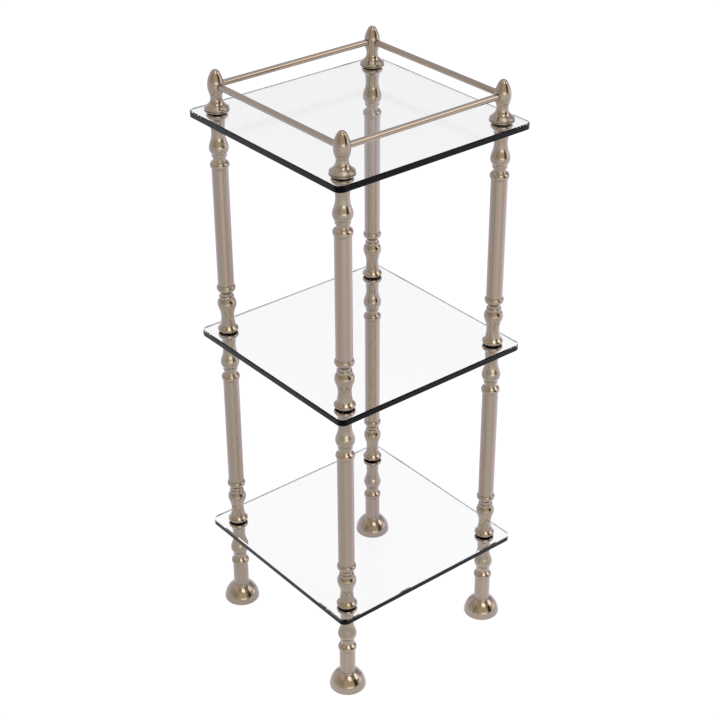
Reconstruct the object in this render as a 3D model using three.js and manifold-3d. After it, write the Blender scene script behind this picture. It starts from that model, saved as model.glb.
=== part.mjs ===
import * as THREE from 'three';
import { mergeVertices } from 'three/addons/utils/BufferGeometryUtils.js';
import Module from 'manifold-3d';

// Lengths are millimetres, +Z is up, and the origin lies on the floor under the middle of the stand.

// Glass shelves
const shelfSide = 355.6;
const shelfThickness = 9.525;
const shelfCornerRadius = 12;
const shelfHoleRadius = 6.35;

// Posts, on the corners of a square set in from the edges of the glass
const postInset = 31.75;
const tubeLength = 195;
const legTubeLength = 42.9;
const tubeRadius = 12.7;
const tubeWall = 1.6;

// Room round a piece in the hole that it fits
const slipGap = 0.3;
const threadGap = 0.35;
const grommetGap = 0.6;

// Threaded studs through the glass, and threaded spigots into the plugs brazed in the tube ends
const threadRadius = 3.97;
const studEngagement = 12;
const spigotLength = 13;
const plugLength = 14;

// Rubber grommet in each glass hole, with a lip on either face
const lipRadius = 14.2;
const lipThickness = 0.8;

// Turned connector, moulding by moulding from the glass to the tube
const flangeFaceRadius = 14.6;
const flangeRadius = 16.15;
const flangeRimHeight = 2.4;
const flangeFallHeight = 8.1;
const flangeFootRadius = 11.4;
const neckRadius = 10.3;
const neckFallHeight = 12.2;
const neckRiseHeight = 24.5;
const bulbRadius = 14.95;
const bulbFallHeight = 8.2;
const bulbFootRadius = 12.1;
const ringRadius = 11.6;
const ringHeight = 5.8;
const grooveRadius = 9.5;
const grooveHeight = 6.2;
const grooveFilletHeight = 0.9;
const beadRadius = 14.85;
const beadRiseHeight = 7.1;
const beadFallHeight = 5.2;
const beadLip = 0.2;

// Finial, moulding by moulding from the glass to its tip
const discRadius = 18.95;
const discEdge = 0.7;
const discHeight = 1.7;
const discGrooveRadius = 17.2;
const discGrooveHeight = 0.6;
const bellRadius = 18.3;
const bellBandHeight = 3.3;
const bellFallHeight = 16.1;
const waistRadius = 8.95;
const acornRiseHeight = 16.5;
const acornRadius = 12.35;
const noseHeight = 24;

// Gallery rails between the finials
const railRadius = 4.76;
const railHeight = 38.3;             // rail axis above the foot of the finial
const railEngagement = 6;

// Domed feet
const footHeight = 30.5;
const footBaseRadius = 28.3;
const footRimRadius = 29.5;
const footRimHeight = 3;
const footSeatRadius = 12.95;

// Sides of the round pieces
const turnedSides = 12;
const footSides = 16;
const holeSides = 16;
const grommetSides = 10;

// Places that follow from the sizes above
const connectorLength = flangeRimHeight + flangeFallHeight + neckFallHeight + neckRiseHeight + bulbFallHeight
  + ringHeight + grooveHeight + beadRiseHeight + beadFallHeight;
const grommetHeight = shelfThickness + 2 * lipThickness;
const legTop = footHeight + legTubeLength;
const shelfPitch = shelfThickness + 2 * (lipThickness + connectorLength) + tubeLength;
const shelfBottoms = {
  bottom: legTop + connectorLength + lipThickness,
  middle: legTop + connectorLength + lipThickness + shelfPitch,
  top: legTop + connectorLength + lipThickness + 2 * shelfPitch,
};
const finialFoot = shelfBottoms.top + shelfThickness + lipThickness;
const railEnd = acornRadius - railEngagement;      // from the post's axis to the end of a rail
const half = shelfSide / 2 - postInset;            // from the middle of the stand to a post's axis
const posts = {
  front_left: [-half, -half],
  front_right: [half, -half],
  back_left: [-half, half],
  back_right: [half, half],
};

// Satin pewter on the tubes and rails, polished pewter on the turned pieces, clear glass and black rubber
const satinMetal = new THREE.MeshStandardMaterial({ color: 0xa49382, roughness: 0.38, metalness: 1 });
const polishedMetal = new THREE.MeshStandardMaterial({ color: 0xa89580, roughness: 0.22, metalness: 1 });
const glass = new THREE.MeshStandardMaterial({
  color: 0xeef3f2,
  roughness: 0.03,
  opacity: 0.35,
  transparent: true,
});
const rubber = new THREE.MeshStandardMaterial({ color: 0x17171a, roughness: 0.7, metalness: 0 });

const part = new THREE.Group();

// A piece turned about the vertical through its outline of [radius, height] points.
function turned(outline, sides) {
  const points = outline.map(([radius, height]) => new THREE.Vector2(radius, height));
  return new THREE.LatheGeometry(points, sides).rotateX(Math.PI / 2);
}

// Points between two outline points, at [radius share, height share] of the way.
function between([radiusA, heightA], [radiusB, heightB], shares) {
  return shares.map(([radiusShare, heightShare]) => [
    radiusA + (radiusB - radiusA) * radiusShare,
    heightA + (heightB - heightA) * heightShare,
  ]);
}

// A solid cylinder from one height to another, on the vertical axis.
function rod(radius, from, to, sides) {
  return turned([[0, from], [radius, from], [radius, to], [0, to]], sides);
}

// Start of an outline: the foot of a piece on its grommet, with a threaded stud down through the glass.
const studdedFace = [
  [0, -grommetHeight - studEngagement],
  [threadRadius, -grommetHeight - studEngagement],
  [threadRadius, 0],
];

// Start of an outline: the face of a piece under the glass, with a blind tapped hole for the stud.
const tappedFace = [
  [0, studEngagement + slipGap],
  [threadRadius + threadGap, studEngagement + slipGap],
  [threadRadius + threadGap, 0],
];

// End of an outline: a threaded spigot that stands on the face at this height and enters a tube.
function spigot(height) {
  return [[threadRadius, height], [threadRadius, height + spigotLength], [0, height + spigotLength]];
}

function add(name, geometry, material, x, y, z) {
  const mesh = new THREE.Mesh(geometry, material);
  mesh.name = name;
  mesh.position.set(x, y, z);
  part.add(mesh);
  return mesh;
}

// Solids for cutting the rail holes.
const wasm = await Module();
wasm.setup();

function toSolid(geometry) {
  const bare = geometry.clone();
  bare.deleteAttribute('normal');
  bare.deleteAttribute('uv');
  const merged = mergeVertices(bare);
  return new wasm.Manifold(new wasm.Mesh({
    numProp: 3,
    vertProperties: new Float32Array(merged.attributes.position.array),
    triVerts: new Uint32Array(merged.index.array),
  }));
}

function toGeometry(solid) {
  const mesh = solid.getMesh();
  const geometry = new THREE.BufferGeometry();
  geometry.setAttribute('position', new THREE.BufferAttribute(new Float32Array(mesh.vertProperties), 3));
  geometry.setIndex(new THREE.BufferAttribute(new Uint32Array(mesh.triVerts), 1));
  geometry.computeVertexNormals();
  return geometry;
}

// Square glass plate with round corners and a hole at each post, its underside at height zero.
function shelf() {
  const side = shelfSide / 2;
  const flat = side - shelfCornerRadius;
  const outline = new THREE.Shape();
  outline.moveTo(-flat, -side);
  outline.lineTo(flat, -side);
  outline.absarc(flat, -flat, shelfCornerRadius, -Math.PI / 2, 0, false);
  outline.lineTo(side, flat);
  outline.absarc(flat, flat, shelfCornerRadius, 0, Math.PI / 2, false);
  outline.lineTo(-flat, side);
  outline.absarc(-flat, flat, shelfCornerRadius, Math.PI / 2, Math.PI, false);
  outline.lineTo(-side, -flat);
  outline.absarc(-flat, -flat, shelfCornerRadius, Math.PI, Math.PI * 1.5, false);
  for (const [x, y] of Object.values(posts)) {
    const hole = new THREE.Path();
    for (let i = 0; i < holeSides; i += 1) {
      const angle = -2 * Math.PI * i / holeSides;
      const point = [x + shelfHoleRadius * Math.cos(angle), y + shelfHoleRadius * Math.sin(angle)];
      if (i === 0) hole.moveTo(...point);
      else hole.lineTo(...point);
    }
    outline.holes.push(hole);
  }
  return new THREE.ExtrudeGeometry(outline, { depth: shelfThickness, bevelEnabled: false, curveSegments: 5 });
}

// Turned connector, its glass face at height zero and its spigot at the far end.
function connector(glassEnd) {
  const rim = [flangeRadius, flangeRimHeight];
  const flangeFoot = [flangeFootRadius, flangeRimHeight + flangeFallHeight];
  const neck = [neckRadius, flangeFoot[1] + neckFallHeight];
  const bulb = [bulbRadius, neck[1] + neckRiseHeight];
  const bulbFoot = [bulbFootRadius, bulb[1] + bulbFallHeight];
  const ringEnd = [ringRadius, bulbFoot[1] + ringHeight];
  const grooveEnd = ringEnd[1] + grooveHeight;
  const bead = [beadRadius, grooveEnd + beadRiseHeight];
  const beadEnd = [tubeRadius + beadLip, connectorLength];
  const flangeFallShares = [[0.8, 0.72]];
  const neckRiseShares = [[0.15, 0.31], [0.82, 0.79]];
  const bulbFallShares = [[0.34, 0.61]];
  const beadRiseShares = [[0.67, 0.58]];
  return turned([
    ...glassEnd,
    [flangeFaceRadius, 0],
    rim,
    ...between(rim, flangeFoot, flangeFallShares),
    neck,
    ...between(neck, bulb, neckRiseShares),
    bulb,
    ...between(bulb, bulbFoot, bulbFallShares),
    bulbFoot,
    ringEnd,
    [grooveRadius, ringEnd[1] + grooveFilletHeight],
    [grooveRadius, grooveEnd - grooveFilletHeight],
    ...between([grooveRadius, grooveEnd], bead, beadRiseShares),
    bead,
    beadEnd,
    ...spigot(connectorLength),
  ], turnedSides);
}

// Finial, its foot at height zero, before the rail holes are cut.
function finialBody() {
  const groove = [discGrooveRadius, discHeight + discGrooveHeight / 2];
  const bellFoot = [bellRadius, discHeight + discGrooveHeight];
  const bellShoulder = [bellRadius, bellFoot[1] + bellBandHeight];
  const waist = [waistRadius, bellShoulder[1] + bellFallHeight];
  const acorn = [acornRadius, waist[1] + acornRiseHeight];
  const tip = [0, acorn[1] + noseHeight];
  const bellFallShares = [[0.39, 0.18], [0.67, 0.35], [0.87, 0.56]];
  const acornRiseShares = [[0.38, 0.27], [0.9, 0.73]];
  const noseShares = [[0.1, 0.33], [0.28, 0.64], [0.53, 0.86], [0.76, 0.96]];
  return turned([
    ...studdedFace,
    [discRadius - discEdge, 0],
    [discRadius, discHeight / 2],
    groove,
    bellFoot,
    bellShoulder,
    ...between(bellShoulder, waist, bellFallShares),
    waist,
    ...between(waist, acorn, acornRiseShares),
    acorn,
    ...between(acorn, tip, noseShares),
    tip,
  ], turnedSides);
}

// Finial of one post, with a blind hole towards each of the two posts beside it.
function finial([x, y]) {
  const cutter = rod(railRadius + slipGap, railEnd - slipGap, 2 * acornRadius, turnedSides);
  const alongX = cutter.clone().rotateY(-Math.sign(x) * Math.PI / 2).translate(0, 0, railHeight);
  const alongY = cutter.clone().rotateX(Math.sign(y) * Math.PI / 2).translate(0, 0, railHeight);
  return toGeometry(toSolid(finialBody()).subtract(toSolid(alongX)).subtract(toSolid(alongY)));
}

// Domed foot, solid, with a spigot for the leg tube that stands on its seat.
function foot() {
  const rim = [footRimRadius, footRimHeight];
  const seat = [footSeatRadius, footHeight];
  const domeShares = [[0.04, 0.13], [0.17, 0.34], [0.34, 0.56], [0.6, 0.78]];
  return turned([
    [0, 0],
    [footBaseRadius, 0],
    rim,
    ...between(rim, seat, domeShares),
    seat,
    ...spigot(footHeight),
  ], footSides);
}

// Tube with a tapped plug brazed flush in each end, its foot at height zero.
function tube(length) {
  const bore = threadRadius + threadGap;
  const inside = tubeRadius - tubeWall;
  return turned([
    [bore, 0],
    [tubeRadius, 0],
    [tubeRadius, length],
    [bore, length],
    [bore, length - plugLength],
    [inside, length - plugLength],
    [inside, plugLength],
    [bore, plugLength],
    [bore, 0],
  ], turnedSides);
}

// Grommet round the middle of the glass, its lower lip starting at height zero.
function grommet() {
  const bore = threadRadius + grommetGap;
  const waist = shelfHoleRadius - slipGap;
  const upperLip = lipThickness + shelfThickness;
  return turned([
    [bore, 0],
    [lipRadius, 0],
    [lipRadius, lipThickness],
    [waist, lipThickness],
    [waist, upperLip],
    [lipRadius, upperLip],
    [lipRadius, upperLip + lipThickness],
    [bore, upperLip + lipThickness],
    [bore, 0],
  ], grommetSides);
}

// Glass shelves
for (const [level, height] of Object.entries(shelfBottoms)) {
  add(`shelf_${level}`, shelf(), glass, 0, 0, height);
}

// Posts: foot, leg tube, and from shelf to shelf the connectors, grommets and tubes, up to the finial
const underShelf = lipThickness + connectorLength;
const tubes = {
  leg: [footHeight, legTubeLength],
  lower: [shelfBottoms.middle - underShelf - tubeLength, tubeLength],
  upper: [shelfBottoms.top - underShelf - tubeLength, tubeLength],
};
for (const [post, [x, y]] of Object.entries(posts)) {
  add(`foot_${post}`, foot(), polishedMetal, x, y, 0);
  for (const [level, [height, length]] of Object.entries(tubes)) {
    add(`tube_${level}_${post}`, tube(length), satinMetal, x, y, height);
  }
  for (const [level, height] of Object.entries(shelfBottoms)) {
    const under = height - lipThickness;
    const over = under + grommetHeight;
    add(`grommet_${level}_${post}`, grommet(), rubber, x, y, under);
    const hung = add(`connector_under_${level}_${post}`, connector(tappedFace), polishedMetal, x, y, under);
    hung.rotation.x = Math.PI;
    if (level === 'top') continue;
    add(`connector_over_${level}_${post}`, connector(studdedFace), polishedMetal, x, y, over);
  }
  add(`finial_${post}`, finial([x, y]), polishedMetal, x, y, finialFoot);
}

// Gallery rails
const railReach = half - railEnd;
const railZ = finialFoot + railHeight;
const rail = rod(railRadius, -railReach, railReach, turnedSides);
for (const [side, sign] of [['front', -1], ['back', 1]]) {
  add(`rail_${side}`, rail.clone().rotateY(Math.PI / 2), satinMetal, 0, sign * half, railZ);
}
for (const [side, sign] of [['left', -1], ['right', 1]]) {
  add(`rail_${side}`, rail.clone().rotateX(Math.PI / 2), satinMetal, sign * half, 0, railZ);
}

export default part;
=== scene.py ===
import math

import bmesh
import bpy
from mathutils import Matrix, Vector
from mathutils.geometry import interpolate_bezier


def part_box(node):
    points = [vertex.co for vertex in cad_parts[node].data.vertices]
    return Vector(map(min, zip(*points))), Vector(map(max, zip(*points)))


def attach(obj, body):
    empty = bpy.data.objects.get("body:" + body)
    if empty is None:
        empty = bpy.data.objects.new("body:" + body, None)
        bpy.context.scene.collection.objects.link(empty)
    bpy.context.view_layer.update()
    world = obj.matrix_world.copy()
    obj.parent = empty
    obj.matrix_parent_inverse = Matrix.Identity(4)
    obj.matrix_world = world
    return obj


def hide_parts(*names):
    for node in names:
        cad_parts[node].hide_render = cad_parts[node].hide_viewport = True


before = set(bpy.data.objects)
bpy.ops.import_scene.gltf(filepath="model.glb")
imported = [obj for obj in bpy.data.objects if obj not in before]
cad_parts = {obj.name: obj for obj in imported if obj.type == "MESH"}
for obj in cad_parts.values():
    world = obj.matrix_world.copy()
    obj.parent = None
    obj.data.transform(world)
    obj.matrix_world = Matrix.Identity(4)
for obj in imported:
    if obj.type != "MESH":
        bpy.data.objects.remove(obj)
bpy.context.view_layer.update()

# Etagere: three glass shelves on four turned pewter posts, with a low gallery of rails on top
scene = bpy.context.scene
mm = 0.001                       # outlines are written in millimetres, the scene is in metres
postNames = ["front_left", "front_right", "back_left", "back_right"]
levelNames = ["bottom", "middle", "top"]


# Camera, standing where the photograph was taken from
viewpoint = {
    "place": (-1.38929, -1.71933, 1.79326),
    "tilt": 59.03,               # degrees up from straight down
    "turn": -39.52,              # degrees about the vertical
    "lens": 81.765,
    "sensor": 36.0,
    "shiftX": -0.0193,
    "shiftY": 0.0139,
    "nearest": 0.05,
    "furthest": 60,
}


def placeCamera():
    data = bpy.data.cameras.new("viewpoint")
    data.lens = viewpoint["lens"]
    data.sensor_width = viewpoint["sensor"]
    data.shift_x = viewpoint["shiftX"]
    data.shift_y = viewpoint["shiftY"]
    data.clip_start = viewpoint["nearest"]
    data.clip_end = viewpoint["furthest"]
    camera = bpy.data.objects.new("viewpoint", data)
    camera.location = viewpoint["place"]
    camera.rotation_euler = (math.radians(viewpoint["tilt"]), 0, math.radians(viewpoint["turn"]))
    scene.collection.objects.link(camera)
    scene.camera = camera


placeCamera()
print("camera placed")


# Studio: a white floor, and soft boxes and dark flags painted on the sky round the stand
studio = {
    "floorHalf": 9.0,
    "floorDrop": 0.0005,         # keeps the floor just clear of the soles
    "floorColour": (0.08, 0.08, 0.08),
    "floorSeen": 0.962,          # glow of the floor seen directly or through glass
    # glow and tint of the floor mirrored in the metal, and more glow to the right and behind
    "floorMirrored": {"plain": 0.835, "right": 0.34, "behind": 0.08},
    "floorTint": {"front": (0.97, 1.0, 1.02), "behind": (0.97, 1.0, 1.14)},
    "glowBehind": (-0.2, 0.6),   # metres behind the middle between which the glow changes
    "tintBehind": (-0.3, 0.5),
    "rightAzimuth": 112,
    "rightSpread": (0.5, 1.0),   # cosine of the angle off that azimuth
    "rightReach": (0.15, 0.5),   # metres from the middle
    # pools of light on the floor: azimuth and distance of the middle, where it starts and stops fading
    "pools": [
        {"azimuth": 0, "distance": 0.0, "inner": 0.23, "outer": 0.36, "glow": 0.05},
        {"azimuth": 25, "distance": 0.27, "inner": 0.10, "outer": 0.42, "glow": 0.18},
        {"azimuth": 20, "distance": 4.7, "inner": 1.7, "outer": 4.4, "glow": 0.33},
    ],
    "rearSky": (0.87, 0.88, 0.96),
    "rearSpread": (-0.25, 0.6),  # cosine of the angle off straight behind
    "flagColour": (0.012, 0.01, 0.008),
    "skyRamp": [                 # elevation in degrees, colour of the sky on the camera's side
        (-8, (0.88, 0.92, 0.96)),
        (6, (0.70, 0.69, 0.63)),
        (16, (0.64, 0.585, 0.475)),
        (50, (0.63, 0.57, 0.44)),
        (63, (0.76, 0.78, 0.74)),
        (78, (1.14, 1.25, 1.24)),
        (90, (1.15, 1.20, 1.20)),
    ],
    # azimuth from the camera's side (to the right is plus), elevation, half width, half height, edge, lean to
    # the right: all degrees
    "boxes": [
        {"azimuth": 20, "elevation": 48, "wide": 12, "high": 8.5, "edge": 3, "lean": 25, "strength": 2.7},
        {"azimuth": 17, "elevation": -2, "wide": 19, "high": 7, "edge": 4, "lean": 0, "strength": 1.85},
        {"azimuth": 10, "elevation": 22, "wide": 30, "high": 20, "edge": 10, "lean": 0, "strength": 0.32,
         "tint": (1.0, 0.92, 0.55)},
        {"azimuth": 85, "elevation": 32, "wide": 9, "high": 10.5, "edge": 4, "lean": 20, "strength": 2.5},
        {"azimuth": 94, "elevation": 1, "wide": 13, "high": 8, "edge": 4, "lean": 0, "strength": 1.05},
        {"azimuth": 101, "elevation": 18, "wide": 8, "high": 12, "edge": 4, "lean": 0, "strength": 0.7},
        {"azimuth": -68, "elevation": 46, "wide": 22, "high": 9, "edge": 6, "lean": 0, "strength": 0.36},
        {"azimuth": 110, "elevation": 72, "wide": 30, "high": 10, "edge": 8, "lean": 0, "strength": 0.45},
        {"azimuth": 58, "elevation": 77, "wide": 12, "high": 7, "edge": 5, "lean": 0, "strength": 1.2},
        {"azimuth": 120, "elevation": 50, "wide": 7, "high": 7, "edge": 4, "lean": 0, "strength": 0.6},
        {"azimuth": -95, "elevation": 18, "wide": 30, "high": 16, "edge": 10, "lean": 0, "strength": 0.10},
    ],
    "flags": [
        {"azimuth": 58, "elevation": 16, "wide": 11, "high": 17, "edge": 4, "lean": 0, "strength": 0.93},
        {"azimuth": 68, "elevation": 50, "wide": 14, "high": 9, "edge": 5, "lean": 0, "strength": 0.5},
        {"azimuth": 127, "elevation": 22, "wide": 16, "high": 14, "edge": 6, "lean": 0, "strength": 0.36},
        {"azimuth": 180, "elevation": 29, "wide": 12, "high": 12, "edge": 6, "lean": 0, "strength": 0.40},
    ],
}


class Nodes:
    # Small helper that adds shader nodes to one tree
    def __init__(self, tree):
        self.tree = tree
        tree.nodes.clear()

    def add(self, kind, **settings):
        node = self.tree.nodes.new(kind)
        for key, value in settings.items():
            setattr(node, key, value)
        return node

    def link(self, start, end):
        self.tree.links.new(start, end)

    def put(self, socket, value):
        # A socket is linked to another socket, or set to a plain value
        if isinstance(value, bpy.types.NodeSocket):
            self.link(value, socket)
        else:
            socket.default_value = value

    def math(self, operation, first, second=None):
        node = self.add("ShaderNodeMath", operation=operation)
        self.put(node.inputs[0], first)
        if second is not None:
            self.put(node.inputs[1], second)
        return node.outputs[0]

    def dot(self, vector, direction):
        node = self.add("ShaderNodeVectorMath", operation="DOT_PRODUCT")
        self.link(vector, node.inputs[0])
        node.inputs[1].default_value = direction
        return node.outputs["Value"]

    def smooth(self, value, low, high, start=0.0, end=1.0):
        node = self.add("ShaderNodeMapRange", interpolation_type="SMOOTHSTEP")
        self.link(value, node.inputs["Value"])
        for key, number in (("From Min", low), ("From Max", high), ("To Min", start), ("To Max", end)):
            node.inputs[key].default_value = number
        return node.outputs["Result"]

    def mix(self, factor, first, second, blend="MIX"):
        node = self.add("ShaderNodeMix", data_type="RGBA", blend_type=blend)
        self.put(node.inputs["Factor"], factor)
        self.put(node.inputs["A"], first)
        self.put(node.inputs["B"], second)
        return node.outputs["Result"]


def towards(azimuth, elevation):
    # Direction in the scene of an azimuth counted from the camera's side
    place = Vector(viewpoint["place"])
    turn = math.atan2(place.y, place.x) + math.radians(azimuth)
    rise = math.radians(elevation)
    return Vector((math.cos(turn) * math.cos(rise), math.sin(turn) * math.cos(rise), math.sin(rise)))


def patch(nodes, sky, box):
    # Mask of one soft-edged rectangle on the sky
    ahead = towards(box["azimuth"], box["elevation"])
    turned = Matrix.Rotation(math.radians(box["lean"]), 3, -ahead)
    side = turned @ towards(box["azimuth"] + 90, 0)
    up = ahead.cross(side)
    reach = [abs(math.sin(math.radians(box[key]))) for key in ("wide", "high", "edge")]
    across = nodes.math("ABSOLUTE", nodes.dot(sky, side))
    along = nodes.math("ABSOLUTE", nodes.dot(sky, up))
    acrossMask = nodes.smooth(across, reach[0] - reach[2], reach[0] + reach[2], 1.0, 0.0)
    alongMask = nodes.smooth(along, reach[1] - reach[2], reach[1] + reach[2], 1.0, 0.0)
    facing = nodes.math("GREATER_THAN", nodes.dot(sky, ahead), 0.0)
    mask = nodes.math("MULTIPLY", nodes.math("MULTIPLY", acrossMask, alongMask), facing)
    return nodes.math("MULTIPLY", mask, box["strength"])


def lightStudio():
    world = bpy.data.worlds.new("studio")
    world.use_nodes = True
    scene.world = world
    nodes = Nodes(world.node_tree)
    sky = nodes.add("ShaderNodeTexCoord").outputs["Generated"]
    height = nodes.math("ARCSINE", nodes.dot(sky, (0, 0, 1)))
    low = math.radians(studio["skyRamp"][0][0])
    high = math.radians(studio["skyRamp"][-1][0])
    ramp = nodes.add("ShaderNodeValToRGB")
    share = nodes.add("ShaderNodeMapRange")
    nodes.link(height, share.inputs["Value"])
    share.inputs["From Min"].default_value = low
    share.inputs["From Max"].default_value = high
    nodes.link(share.outputs["Result"], ramp.inputs["Fac"])
    stops = ramp.color_ramp.elements
    for number, (elevation, colour) in enumerate(studio["skyRamp"]):
        place = (math.radians(elevation) - low) / (high - low)
        stop = stops[number] if number < 2 else stops.new(place)
        stop.position = place
        stop.color = (*colour, 1)
    rear = nodes.smooth(nodes.dot(sky, towards(180, 0)), *studio["rearSpread"])
    colour = nodes.mix(rear, ramp.outputs["Color"], (*studio["rearSky"], 1))
    for flag in studio["flags"]:
        colour = nodes.mix(patch(nodes, sky, flag), colour, (*studio["flagColour"], 1))
    for box in studio["boxes"]:
        glow = nodes.add("ShaderNodeVectorMath", operation="SCALE")
        glow.inputs[0].default_value = box.get("tint", (1, 1, 1))
        nodes.link(patch(nodes, sky, box), glow.inputs["Scale"])
        colour = nodes.mix(1.0, colour, glow.outputs["Vector"], "ADD")
    rays = nodes.add("ShaderNodeLightPath")
    colour = nodes.mix(rays.outputs["Is Camera Ray"], colour, (1, 1, 1, 1))
    background = nodes.add("ShaderNodeBackground")
    nodes.link(colour, background.inputs["Color"])
    out = nodes.add("ShaderNodeOutputWorld")
    nodes.link(background.outputs[0], out.inputs["Surface"])


def layFloor():
    material = bpy.data.materials.new("studioFloor")
    material.use_nodes = True
    nodes = Nodes(material.node_tree)
    shader = nodes.add("ShaderNodeBsdfPrincipled")
    shader.inputs["Base Color"].default_value = (*studio["floorColour"], 1)
    shader.inputs["Roughness"].default_value = 1.0
    shader.inputs["Specular IOR Level"].default_value = 0.0
    shader.inputs["Emission Strength"].default_value = 1.0
    place = nodes.add("ShaderNodeTexCoord").outputs["Object"]
    level = studio["floorMirrored"]
    rearward = nodes.dot(place, towards(180, 0))
    glow = nodes.smooth(rearward, *studio["glowBehind"], level["plain"], level["plain"] + level["behind"])
    heading = nodes.add("ShaderNodeVectorMath", operation="NORMALIZE")
    nodes.link(place, heading.inputs[0])
    reach = nodes.add("ShaderNodeVectorMath", operation="LENGTH")
    nodes.link(place, reach.inputs[0])
    rightward = nodes.dot(heading.outputs["Vector"], towards(studio["rightAzimuth"], 0))
    right = nodes.smooth(rightward, *studio["rightSpread"])
    far = nodes.smooth(reach.outputs["Value"], *studio["rightReach"], 0.0, level["right"])
    glow = nodes.math("ADD", glow, nodes.math("MULTIPLY", right, far))
    for pool in studio["pools"]:
        away = nodes.add("ShaderNodeVectorMath", operation="DISTANCE")
        nodes.link(place, away.inputs[0])
        away.inputs[1].default_value = towards(pool["azimuth"], 0) * pool["distance"]
        light = nodes.smooth(away.outputs["Value"], pool["inner"], pool["outer"], pool["glow"], 0.0)
        glow = nodes.math("ADD", glow, light)
    glowNode = nodes.add("ShaderNodeCombineColor")
    for key in ("Red", "Green", "Blue"):
        nodes.link(glow, glowNode.inputs[key])
    tints = studio["floorTint"]
    behind = nodes.smooth(rearward, *studio["tintBehind"])
    tint = nodes.mix(behind, (*tints["front"], 1), (*tints["behind"], 1))
    mirrored = nodes.mix(1.0, tint, glowNode.outputs["Color"], "MULTIPLY")
    seen = (*[studio["floorSeen"]] * 3, 1)
    rays = nodes.add("ShaderNodeLightPath")
    straight = nodes.math("SUBTRACT", 1.0, rays.outputs["Is Transmission Ray"])
    mirrors = nodes.math("MULTIPLY", rays.outputs["Is Glossy Ray"], straight)
    nodes.link(nodes.mix(mirrors, seen, mirrored), shader.inputs["Emission Color"])
    out = nodes.add("ShaderNodeOutputMaterial")
    nodes.link(shader.outputs[0], out.inputs["Surface"])
    bm = bmesh.new()
    bmesh.ops.create_grid(bm, x_segments=1, y_segments=1, size=studio["floorHalf"])
    bmesh.ops.translate(bm, verts=bm.verts, vec=(0, 0, -studio["floorDrop"]))
    mesh = bpy.data.meshes.new("studio_floor")
    bm.to_mesh(mesh)
    bm.free()
    mesh.materials.append(material)
    floor = bpy.data.objects.new("studio_floor", mesh)
    scene.collection.objects.link(floor)


lightStudio()
layFloor()
scene.view_settings.view_transform = "Standard"
print("studio lit")


# Finishes
pewter = {
    "colour": (0.330, 0.262, 0.205),
    "shadeColour": (0.312, 0.246, 0.190),
    "edgeTint": (0.92, 0.90, 1.0),
    "lacquer": 0.6,
    "lacquerRoughness": 0.07,
    "cloudContrast": (0.35, 0.68),
    "markContrast": (0.3, 0.7),
    "markTone": (0.97, 1.03),
    "polishContrast": (0.25, 0.8),
    "markStrength": 0.35,
}

# How the metal is worked, and a painted light tone on its colour. Clouds and marks are in cycles a metre
# along each axis. Stretch is how much the
# highlights spread, and which way: 0 is round the axis, 0.25 along it
turnedFinish = {
    "roughness": (0.085, 0.12),
    "clouds": (38, 38, 38),
    "marks": (25, 25, 1500),
    "markDepth": 0.000006,
    "stretch": (0.3, 0.25),
    "axis": "Z",
    "paintedLightTone": (1, 1, 1),
}
drawnFinish = {
    "roughness": (0.27, 0.33),
    "clouds": (90, 90, 1.5),
    "marks": (420, 420, 1),
    "markDepth": 0.000003,
    "stretch": (0.75, 0.25),
    "axis": "Z",
    # painted light: the tubes' colour is made brighter and bluer to stand for more of the bright floor
    # mirrored in them
    "paintedLightTone": (1.085, 1.065, 1.105),
}
railFinish = {
    "roughness": (0.06, 0.09),
    "clouds": (2, 90, 90),
    "marks": (2, 900, 900),
    "markDepth": 0.000003,
    "stretch": (0.0, 0.0),
    "axis": "X",
    "paintedLightTone": (1, 1, 1),
}
sideRailFinish = {**railFinish, "clouds": (90, 2, 90), "marks": (900, 2, 900), "axis": "Y"}


def newMaterial(name):
    material = bpy.data.materials.new(name)
    material.use_nodes = True
    return material, Nodes(material.node_tree)


def metalShader(nodes, colour, roughness, bump, finish):
    # Clear lacquer over metal, whose highlights are stretched across the marks of its polishing
    shader = nodes.add("ShaderNodeBsdfPrincipled")
    shader.inputs["Metallic"].default_value = 1.0
    shader.inputs["Specular Tint"].default_value = (*pewter["edgeTint"], 1)
    shader.inputs["Coat Weight"].default_value = pewter["lacquer"]
    shader.inputs["Coat Roughness"].default_value = pewter["lacquerRoughness"]
    shader.inputs["Anisotropic"].default_value = finish["stretch"][0]
    shader.inputs["Anisotropic Rotation"].default_value = finish["stretch"][1]
    around = nodes.add("ShaderNodeTangent", direction_type="RADIAL", axis=finish["axis"])
    nodes.link(around.outputs[0], shader.inputs["Tangent"])
    nodes.link(colour, shader.inputs["Base Color"])
    nodes.link(roughness, shader.inputs["Roughness"])
    nodes.link(bump, shader.inputs["Normal"])
    out = nodes.add("ShaderNodeOutputMaterial")
    nodes.link(shader.outputs[0], out.inputs["Surface"])


def grain(nodes, coordinates, scale, detail=3.0, roughness=0.55):
    # Noise with its own scale along each axis, in cycles a metre
    mapping = nodes.add("ShaderNodeMapping")
    nodes.link(coordinates, mapping.inputs["Vector"])
    mapping.inputs["Scale"].default_value = scale
    noise = nodes.add("ShaderNodeTexNoise")
    nodes.link(mapping.outputs[0], noise.inputs["Vector"])
    noise.inputs["Scale"].default_value = 1.0
    noise.inputs["Detail"].default_value = detail
    noise.inputs["Roughness"].default_value = roughness
    return noise.outputs["Fac"]


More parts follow.
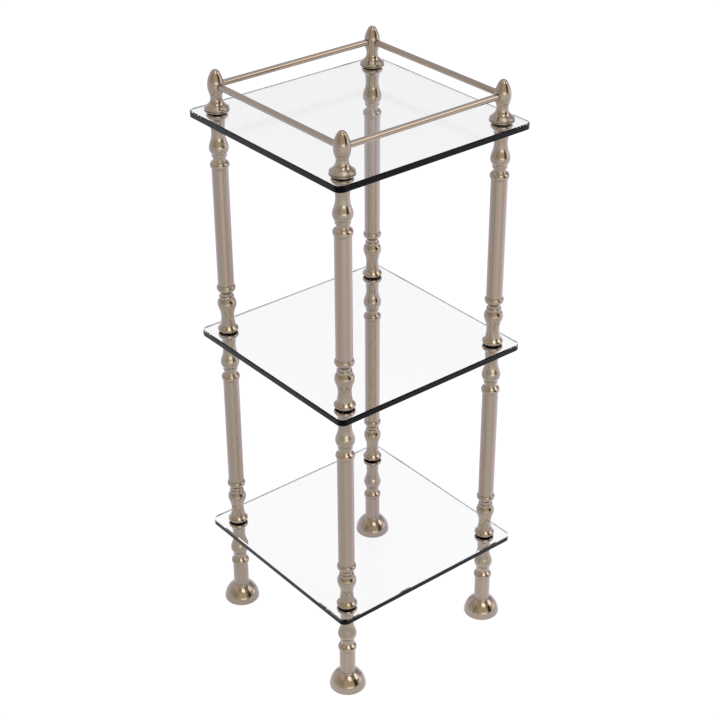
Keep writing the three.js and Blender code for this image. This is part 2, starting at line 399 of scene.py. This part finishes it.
def makePewter(name, finish):
    # Plated pewter: a soft cloudy colour, fine tool or draw marks in roughness and height, and a painted
    # light tone on the colour
    material, nodes = newMaterial(name)
    place = nodes.add("ShaderNodeTexCoord").outputs["Object"]
    clouds = nodes.smooth(grain(nodes, place, finish["clouds"], 2.0), *pewter["cloudContrast"])
    marks = grain(nodes, place, finish["marks"], 2.0)
    colour = nodes.mix(clouds, (*pewter["colour"], 1), (*pewter["shadeColour"], 1))
    markTone = nodes.smooth(marks, *pewter["markContrast"], *pewter["markTone"])
    # The colour is multiplied by the finish's painted light tone: brighter and bluer on the tubes, plain on
    # the turned parts and rails
    shade = nodes.add("ShaderNodeCombineColor")
    for key, part in zip(("Red", "Green", "Blue"), finish["paintedLightTone"]):
        nodes.link(nodes.math("MULTIPLY", markTone, part), shade.inputs[key])
    colour = nodes.mix(1.0, colour, shade.outputs["Color"], "MULTIPLY")
    polish = nodes.math("MULTIPLY", nodes.math("ADD", clouds, marks), 0.5)
    roughness = nodes.smooth(polish, *pewter["polishContrast"], *finish["roughness"])
    bump = nodes.add("ShaderNodeBump")
    bump.inputs["Strength"].default_value = pewter["markStrength"]
    bump.inputs["Distance"].default_value = finish["markDepth"]
    nodes.link(marks, bump.inputs["Height"])
    metalShader(nodes, colour, roughness, bump.outputs["Normal"], finish)
    return material


turnedPewter = makePewter("turnedPewter", turnedFinish)
drawnPewter = makePewter("drawnPewter", drawnFinish)
railPewterAlongX = makePewter("railPewterAlongX", railFinish)
railPewterAlongY = makePewter("railPewterAlongY", sideRailFinish)

glassLook = {
    "ior": 1.5,
    "gloss": 0.0,                # glare of the faces seen straight on
    "cutLevel": (0.2, 0.6),      # upward share of the normal: less is a cut edge, more is a face or an arris
    "satin": 0.22,               # roughness of the cut edges
    "edgeClear": 0.52,           # share of the light that the cut edges let through or turn back
    # painted shade: near-black colour on the cut edges, standing for how dark the edges of the glass look
    "paintedEdgeShade": (0.006, 0.0058, 0.008),
    "tint": (0.80, 0.796, 0.81),
    "density": 22.0,
    "waves": 9,                  # faint unevenness of the faces, in cycles a metre
    "waveStrength": 0.04,
    "waveDepth": 0.0002,
}


def makeGlass():
    material, nodes = newMaterial("clearGlass")
    shader = nodes.add("ShaderNodeBsdfPrincipled")
    shader.inputs["Transmission Weight"].default_value = 1.0
    shader.inputs["IOR"].default_value = glassLook["ior"]
    shader.inputs["Specular Tint"].default_value = (*[glassLook["gloss"]] * 3, 1)
    normal = nodes.add("ShaderNodeNewGeometry").outputs["True Normal"]
    level = nodes.math("ABSOLUTE", nodes.dot(normal, (0, 0, 1)))
    cut = glassLook["cutLevel"]
    face = nodes.smooth(level, *cut)                          # 0 on the cut edges, 1 on faces and arrises
    # The cut edges get a near-black colour, painted shade for how dark they look; faces and arrises stay
    # white
    nodes.link(nodes.mix(face, (*glassLook["paintedEdgeShade"], 1), (1, 1, 1, 1)), shader.inputs["Base Color"])
    clear = nodes.smooth(level, *cut, glassLook["edgeClear"], 1.0)
    nodes.link(clear, shader.inputs["Transmission Weight"])
    nodes.link(nodes.smooth(level, *cut, glassLook["satin"], 0.0), shader.inputs["Roughness"])
    place = nodes.add("ShaderNodeTexCoord").outputs["Object"]
    waves = grain(nodes, place, [glassLook["waves"]] * 3, 2.0)
    bump = nodes.add("ShaderNodeBump")
    bump.inputs["Strength"].default_value = glassLook["waveStrength"]
    bump.inputs["Distance"].default_value = glassLook["waveDepth"]
    nodes.link(waves, bump.inputs["Height"])
    nodes.link(bump.outputs["Normal"], shader.inputs["Normal"])
    depth = nodes.add("ShaderNodeVolumeAbsorption")
    depth.inputs["Color"].default_value = (*glassLook["tint"], 1)
    depth.inputs["Density"].default_value = glassLook["density"]
    out = nodes.add("ShaderNodeOutputMaterial")
    nodes.link(shader.outputs[0], out.inputs["Surface"])
    nodes.link(depth.outputs[0], out.inputs["Volume"])
    return material


rubberLook = {
    "darker": (0.010, 0.010, 0.011),
    "lighter": (0.022, 0.021, 0.022),
    "speckle": 700,              # cycles a metre
    "speckleContrast": (0.2, 0.8),
    "roughness": (0.55, 0.75),
    "speckleStrength": 0.3,
    "speckleDepth": 0.00005,
}


def makeRubber():
    # Dull black with a fine speckle
    material, nodes = newMaterial("blackRubber")
    shader = nodes.add("ShaderNodeBsdfPrincipled")
    place = nodes.add("ShaderNodeTexCoord").outputs["Object"]
    speckle = grain(nodes, place, [rubberLook["speckle"]] * 3)
    colour = nodes.mix(speckle, (*rubberLook["darker"], 1), (*rubberLook["lighter"], 1))
    nodes.link(colour, shader.inputs["Base Color"])
    roughness = nodes.smooth(speckle, *rubberLook["speckleContrast"], *rubberLook["roughness"])
    nodes.link(roughness, shader.inputs["Roughness"])
    bump = nodes.add("ShaderNodeBump")
    bump.inputs["Strength"].default_value = rubberLook["speckleStrength"]
    bump.inputs["Distance"].default_value = rubberLook["speckleDepth"]
    nodes.link(speckle, bump.inputs["Height"])
    nodes.link(bump.outputs["Normal"], shader.inputs["Normal"])
    out = nodes.add("ShaderNodeOutputMaterial")
    nodes.link(shader.outputs[0], out.inputs["Surface"])
    return material


clearGlass = makeGlass()
blackRubber = makeRubber()
print("finishes mixed")


# Turning: an outline of [radius, height] points, spun about a vertical axis
turning = {"steps": 64, "footSteps": 96, "mergeGap": 1e-6}
sharpAngle = {"turned": 32, "connector": 24, "glass": 20}    # steeper edges than this stay crisp, in degrees


def bend(path, radius, height, leave, arrive, steps=8, pull=0.38):
    # Curve on to a point. Angles: 0 points away from the axis, 90 up, 180 towards the axis
    start = Vector((*path[-1], 0))
    end = Vector((radius, height, 0))
    reach = (end - start).length * pull
    first = start + reach * Vector((math.cos(math.radians(leave)), math.sin(math.radians(leave)), 0))
    last = end - reach * Vector((math.cos(math.radians(arrive)), math.sin(math.radians(arrive)), 0))
    for point in interpolate_bezier(start, first, last, end, steps + 1)[1:]:
        path.append((point.x, point.y))


def spinOutline(path, steps):
    # Closed round shape at the origin, in metres
    bm = bmesh.new()
    verts = [bm.verts.new((radius * mm, 0, height * mm)) for radius, height in path]
    for start, end in zip(verts, verts[1:]):
        bm.edges.new((start, end))
    if path[0][0] > 0:
        bm.edges.new((verts[-1], verts[0]))      # a ring, which never meets the axis
    bmesh.ops.spin(bm, geom=bm.verts[:] + bm.edges[:], cent=(0, 0, 0), axis=(0, 0, 1),
                   angle=2 * math.pi, steps=steps, use_merge=True)
    bmesh.ops.remove_doubles(bm, verts=bm.verts, dist=turning["mergeGap"])
    bmesh.ops.recalc_face_normals(bm, faces=bm.faces)
    return bm


def finishPiece(bm, name, material, crisp=sharpAngle["turned"]):
    # Mesh to object: smooth faces with crisp edges, riding on the one body and standing for its node
    bm.normal_update()
    for face in bm.faces:
        face.smooth = True
    for edge in bm.edges:
        if len(edge.link_faces) == 2:
            edge.smooth = edge.calc_face_angle() < math.radians(crisp)
    mesh = bpy.data.meshes.new(name + "_fine")
    bm.to_mesh(mesh)
    bm.free()
    mesh.materials.append(material)
    piece = bpy.data.objects.new(name + "_fine", mesh)
    scene.collection.objects.link(piece)
    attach(piece, "root")
    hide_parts(name)


def centreOf(node):
    low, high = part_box(node)
    return (low + high) / 2


glassFaces = {level: [corner.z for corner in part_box(f"shelf_{level}")] for level in levelNames}
axes = {post: centreOf(f"foot_{post}") for post in postNames}

# Threaded parts and the room round them, as the solids have them
thread = {"radius": 3.97, "engagement": 12, "spigot": 13, "gap": 0.35, "slip": 0.3, "chamfer": 0.5}
grommetSize = {"lip": 0.8, "lipRadius": 14.2, "bore": 4.57, "waist": 6.05, "round": 0.3}
glassThickness = (glassFaces["top"][1] - glassFaces["top"][0]) / mm
grommetHeight = glassThickness + 2 * grommetSize["lip"]


def studPath():
    # From the tip of the stud up to the face of the piece, on its grommet
    tip = -grommetHeight - thread["engagement"]
    return [(0, tip), (thread["radius"] - thread["chamfer"], tip),
            (thread["radius"], tip + thread["chamfer"]), (thread["radius"], 0)]


def tappedPath():
    # From the end of the blind hole down to the face of the piece, under its grommet
    bore = thread["radius"] + thread["gap"]
    depth = thread["engagement"] + thread["slip"]
    return [(0, depth), (bore, depth), (bore, thread["chamfer"]), (bore + thread["chamfer"], 0)]


def spigotPath(height):
    tip = height + thread["spigot"]
    return [(thread["radius"], height), (thread["radius"], tip - thread["chamfer"]),
            (thread["radius"] - thread["chamfer"], tip), (0, tip)]


# Domed feet
footSize = {
    "height": 30.5,
    "soleRadius": 27.8,
    "rimRadius": 29.5,
    "rimHeight": 3.0,
    "rimAngle": 97,
    "seatRadius": 12.95,
    "seatAngle": 143.4,
    "seatLip": 0.5,
}


def footPath():
    path = [(0, 0), (footSize["soleRadius"], 0)]
    bend(path, footSize["rimRadius"], footSize["rimHeight"], 20, footSize["rimAngle"], 8)
    bend(path, footSize["seatRadius"] + footSize["seatLip"], footSize["height"] - footSize["seatLip"],
         footSize["rimAngle"], footSize["seatAngle"], 26, 0.367)
    path.append((footSize["seatRadius"] - footSize["seatLip"], footSize["height"]))
    return path + spigotPath(footSize["height"])


for post, axis in axes.items():
    bm = spinOutline(footPath(), turning["footSteps"])
    bmesh.ops.translate(bm, verts=bm.verts, vec=(axis.x, axis.y, 0))
    finishPiece(bm, f"foot_{post}", turnedPewter)
print("feet turned")


# Tubes, with a tapped plug brazed in each end
tubeSize = {"radius": 12.7, "wall": 1.6, "plug": 14, "chamfer": 0.5}


def tubePath(length):
    outside, bevel, plug = tubeSize["radius"], tubeSize["chamfer"], tubeSize["plug"]
    inside = outside - tubeSize["wall"]
    bore = thread["radius"] + thread["gap"]
    return [(bore, 0), (outside - bevel, 0), (outside, bevel), (outside, length - bevel),
            (outside - bevel, length), (bore, length), (bore, length - plug), (inside, length - plug),
            (inside, plug), (bore, plug)]


for level in ("leg", "lower", "upper"):
    for post, axis in axes.items():
        low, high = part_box(f"tube_{level}_{post}")
        bm = spinOutline(tubePath((high.z - low.z) / mm), turning["steps"])
        bmesh.ops.translate(bm, verts=bm.verts, vec=(axis.x, axis.y, low.z))
        finishPiece(bm, f"tube_{level}_{post}", drawnPewter)
print("tubes drawn")


# Turned connectors: flange on the glass, neck, bulb, ring, groove and the bead that sits on the tube
connectorSize = {
    "faceRadius": 14.6,
    "flangeRadius": 16.15, "flangeHeight": 2.4,
    "shoulderRadius": 13.75, "shoulderHeight": 6.9,
    "footRadius": 11.45, "footHeight": 10.6,
    "neckRadius": 10.3, "neckHeight": 23.2,
    "swellRadius": 12.35, "swellHeight": 36.3,
    "bulbRadius": 14.95, "bulbHeight": 47.2,
    "bulbFootRadius": 12.1, "bulbFootHeight": 55.4,
    "ringRadius": 11.6, "ringLedge": 0.1, "ringEdge": 0.35, "ringHeight": 5.8,
    "grooveRadius": 9.5, "grooveHeight": 6.2, "grooveFillet": 1.26,
    "beadFootRadius": 10.5,
    "beadRadius": 14.85, "beadHeight": 74.4,
    "lipRadius": 12.9, "lipHeight": 0.9, "length": 79.7,
}


def connectorPath(glassEnd):
    size = connectorSize
    path = list(glassEnd) + [(size["faceRadius"], 0)]
    bend(path, size["flangeRadius"], size["flangeHeight"], 42, 90, 6)
    bend(path, size["shoulderRadius"], size["shoulderHeight"], 90, 128, 8)
    bend(path, size["footRadius"], size["footHeight"], 128, 95, 6)
    bend(path, size["neckRadius"], size["neckHeight"], 95, 90, 6)
    bend(path, size["swellRadius"], size["swellHeight"], 90, 73, 8)
    bend(path, size["bulbRadius"], size["bulbHeight"], 73, 90, 8)
    bend(path, size["bulbFootRadius"], size["bulbFootHeight"], 90, 124, 8)
    ringStart = size["bulbFootHeight"] + size["ringLedge"]
    ringEnd = size["bulbFootHeight"] + size["ringHeight"]
    path.append((size["ringRadius"] - size["ringLedge"], ringStart))
    bend(path, size["ringRadius"], (ringStart + ringEnd) / 2, 85, 90, 4)
    bend(path, size["ringRadius"] - size["ringEdge"], ringEnd, 90, 112, 4)
    grooveEnd = ringEnd + size["grooveHeight"]
    bend(path, size["grooveRadius"], ringEnd + size["grooveFillet"], 178, 90, 5)
    bend(path, size["beadFootRadius"], grooveEnd, 88, 35, 6)
    bend(path, size["beadRadius"], size["beadHeight"], 45, 90, 10)
    bend(path, size["lipRadius"], size["length"] - size["lipHeight"], 92, 150, 8)
    path.append((size["lipRadius"], size["length"]))
    return path + spigotPath(size["length"])


def makeConnector(name, post, level, under):
    bm = spinOutline(connectorPath(tappedPath() if under else studPath()), turning["steps"])
    lip = grommetSize["lip"] * mm
    face = glassFaces[level][0] - lip if under else glassFaces[level][1] + lip
    if under:
        bmesh.ops.scale(bm, verts=bm.verts, vec=(1, 1, -1))
        bmesh.ops.recalc_face_normals(bm, faces=bm.faces)
    bmesh.ops.translate(bm, verts=bm.verts, vec=(axes[post].x, axes[post].y, face))
    finishPiece(bm, name, turnedPewter, sharpAngle["connector"])


for post in postNames:
    for level in levelNames:
        makeConnector(f"connector_under_{level}_{post}", post, level, True)
    for level in levelNames[:2]:
        makeConnector(f"connector_over_{level}_{post}", post, level, False)
print("connectors turned")


# Finials, each with a blind hole for two rails
finialSize = {
    "discRadius": 18.95, "discEdge": 0.7, "discHeight": 1.7,
    "slotRadius": 17.2, "slotHeight": 0.6, "slotBevel": 0.1,
    "bellRadius": 18.3, "bandHeight": 2.4,
    "shoulderRadius": 15.9, "shoulderHeight": 7.0,
    "waistRadius": 8.95, "waistHeight": 21.6,
    "swellRadius": 10.3, "swellHeight": 26.3,
    "acornRadius": 12.35, "acornHeight": 38.2,
    "browRadius": 8.85, "browHeight": 53.7,
    "height": 62.2,
}
railSize = {"radius": 4.76, "chamfer": 0.4, "gap": 0.3, "steps": 48}


def finialPath():
    size = finialSize
    path = studPath() + [(size["discRadius"] - size["discEdge"], 0)]
    bend(path, size["discRadius"], size["discHeight"] / 2, 10, 90, 4)
    bend(path, size["discRadius"] - size["discEdge"], size["discHeight"], 90, 170, 4)
    path.append((size["slotRadius"], size["discHeight"] + size["slotBevel"]))
    bellFoot = size["discHeight"] + size["slotHeight"]
    path.append((size["slotRadius"], bellFoot - size["slotBevel"]))
    path.append((size["bellRadius"] - size["discEdge"] / 2, bellFoot))
    bend(path, size["bellRadius"], bellFoot + size["discEdge"], 20, 90, 4)
    path.append((size["bellRadius"], bellFoot + size["bandHeight"]))
    bend(path, size["shoulderRadius"], size["shoulderHeight"], 90, 139, 7)
    bend(path, size["waistRadius"], size["waistHeight"], 139, 90, 14, 0.46)
    bend(path, size["swellRadius"], size["swellHeight"], 90, 71, 6)
    bend(path, size["acornRadius"], size["acornHeight"], 71, 90, 8)
    bend(path, size["browRadius"], size["browHeight"], 90, 114, 10)
    bend(path, 0, size["height"], 114, 180, 14, 0.42)
    return path


def drillFinial(bm, name, axis, railEnd, railAxis):
    # Cuts the two blind rail holes with a drill-shaped cutter each
    mesh = bpy.data.meshes.new(name)
    bm.to_mesh(mesh)
    bm.free()
    body = bpy.data.objects.new(name, mesh)
    scene.collection.objects.link(body)
    drills = []
    for turn in (Matrix.Rotation(-math.copysign(math.pi / 2, axis.x), 4, "Y"),
                 Matrix.Rotation(math.copysign(math.pi / 2, axis.y), 4, "X")):
        reach = 2 * finialSize["acornRadius"]
        radius = railSize["radius"] + railSize["gap"]
        bottom = railEnd - railSize["gap"]
        drill = spinOutline([(0, bottom), (radius, bottom), (radius, reach), (0, reach)], railSize["steps"])
        place = Matrix.Translation((axis.x, axis.y, railAxis))
        bmesh.ops.transform(drill, matrix=place @ turn, verts=drill.verts)
        drillMesh = bpy.data.meshes.new("drill")
        drill.to_mesh(drillMesh)
        drill.free()
        cutter = bpy.data.objects.new("drill", drillMesh)
        scene.collection.objects.link(cutter)
        cut = body.modifiers.new("railHole", "BOOLEAN")
        cut.operation = "DIFFERENCE"
        cut.solver = "EXACT"
        cut.object = cutter
        drills.append(cutter)
    cutMesh = body.evaluated_get(bpy.context.evaluated_depsgraph_get()).to_mesh()
    drilled = bmesh.new()
    drilled.from_mesh(cutMesh)
    for spare in [body, *drills]:
        bpy.data.objects.remove(spare)
    bmesh.ops.remove_doubles(drilled, verts=drilled.verts, dist=turning["mergeGap"])
    return drilled


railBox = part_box("rail_front")
railAxis = (railBox[0].z + railBox[1].z) / 2
railEnd = (railBox[0].x - axes["front_left"].x) / mm
finialFace = glassFaces["top"][1] + grommetSize["lip"] * mm
for post, axis in axes.items():
    bm = spinOutline(finialPath(), turning["steps"])
    bmesh.ops.translate(bm, verts=bm.verts, vec=(axis.x, axis.y, finialFace))
    bm = drillFinial(bm, f"finial_{post}", axis, railEnd, railAxis)
    finishPiece(bm, f"finial_{post}", turnedPewter)
print("finials turned and drilled")


# Gallery rails between the finials
def makeRail(side):
    low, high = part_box(f"rail_{side}")
    alongX = side in ("front", "back")
    reach = ((high.x - low.x) if alongX else (high.y - low.y)) / 2 / mm
    radius, bevel = railSize["radius"], railSize["chamfer"]
    bm = spinOutline([(0, -reach), (radius - bevel, -reach), (radius, bevel - reach),
                      (radius, reach - bevel), (radius - bevel, reach), (0, reach)], railSize["steps"])
    turn = Matrix.Rotation(math.pi / 2, 4, "Y" if alongX else "X")
    bmesh.ops.transform(bm, matrix=Matrix.Translation((low + high) / 2) @ turn, verts=bm.verts)
    finishPiece(bm, f"rail_{side}", railPewterAlongX if alongX else railPewterAlongY)


for side in ("front", "back", "left", "right"):
    makeRail(side)
print("rails fitted")


# Rubber grommets in the holes of the glass
def grommetPath():
    size = grommetSize
    upper = size["lip"] + glassThickness
    curve = size["round"]
    path = [(size["bore"], 0), (size["lipRadius"] - curve, 0)]
    bend(path, size["lipRadius"], curve, 0, 90, 3)
    path.append((size["lipRadius"], size["lip"]))
    path.append((size["waist"], size["lip"]))
    path.append((size["waist"], upper))
    path.append((size["lipRadius"], upper))
    path.append((size["lipRadius"], upper + size["lip"] - curve))
    bend(path, size["lipRadius"] - curve, upper + size["lip"], 90, 180, 3)
    path.append((size["bore"], upper + size["lip"]))
    return path


for level in levelNames:
    for post, axis in axes.items():
        bm = spinOutline(grommetPath(), turning["steps"])
        base = glassFaces[level][0] - grommetSize["lip"] * mm
        bmesh.ops.translate(bm, verts=bm.verts, vec=(axis.x, axis.y, base))
        finishPiece(bm, f"grommet_{level}_{post}", blackRubber)
print("grommets fitted")


# Glass shelves with satin cut edges and a hole at each post
shelfSize = {
    "cornerRadius": 12.0, "cornerSteps": 12,
    "holeRadius": 6.35, "holeSteps": 48,
    "upperWide": 1.8, "upperDeep": 0.88,             # arris along the upper edge
    "lowerWide": 0.6, "lowerDeep": 0.4,              # arris along the lower edge
}


def addLoop(bm, points):
    verts = [bm.verts.new(point) for point in points]
    return [bm.edges.new((start, end)) for start, end in zip(verts, verts[1:] + verts[:1])]


def roundedSquare(low, high, height, inset):
    radius = (shelfSize["cornerRadius"] - inset) * mm
    centreInset = shelfSize["cornerRadius"] * mm
    points = []
    for quarter, (x, y) in enumerate([(high.x, high.y), (low.x, high.y), (low.x, low.y), (high.x, low.y)]):
        middle = Vector((x - math.copysign(centreInset, x), y - math.copysign(centreInset, y), height))
        for step in range(shelfSize["cornerSteps"] + 1):
            angle = math.pi / 2 * (quarter + step / shelfSize["cornerSteps"])
            points.append(middle + radius * Vector((math.cos(angle), math.sin(angle), 0)))
    return points


def shelfSection(bm, low, high, height, inset):
    # The outer loop of the plate at one height, and the loop of each hole
    loops = [addLoop(bm, roundedSquare(low, high, height, inset))]
    radius = (shelfSize["holeRadius"] + inset) * mm
    turns = [2 * math.pi * step / shelfSize["holeSteps"] for step in range(shelfSize["holeSteps"])]
    spokes = [radius * Vector((math.cos(turn), math.sin(turn), 0)) for turn in turns]
    for axis in axes.values():
        middle = Vector((axis.x, axis.y, height))
        loops.append(addLoop(bm, [middle + spoke for spoke in spokes]))
    return loops


def makeShelf(level):
    low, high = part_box(f"shelf_{level}")
    steps = [(low.z, shelfSize["lowerWide"]), (low.z + shelfSize["lowerDeep"] * mm, 0),
             (high.z - shelfSize["upperDeep"] * mm, 0), (high.z, shelfSize["upperWide"])]
    bm = bmesh.new()
    sections = [shelfSection(bm, low, high, height, inset) for height, inset in steps]
    for lower, upper in zip(sections, sections[1:]):
        for lowerLoop, upperLoop in zip(lower, upper):
            bmesh.ops.bridge_loops(bm, edges=lowerLoop + upperLoop)
    for section in (sections[0], sections[-1]):
        bmesh.ops.triangle_fill(bm, edges=[edge for loop in section for edge in loop], use_beauty=True)
    bmesh.ops.recalc_face_normals(bm, faces=bm.faces)
    finishPiece(bm, f"shelf_{level}", clearGlass, sharpAngle["glass"])


for level in levelNames:
    makeShelf(level)
print("shelves cut")
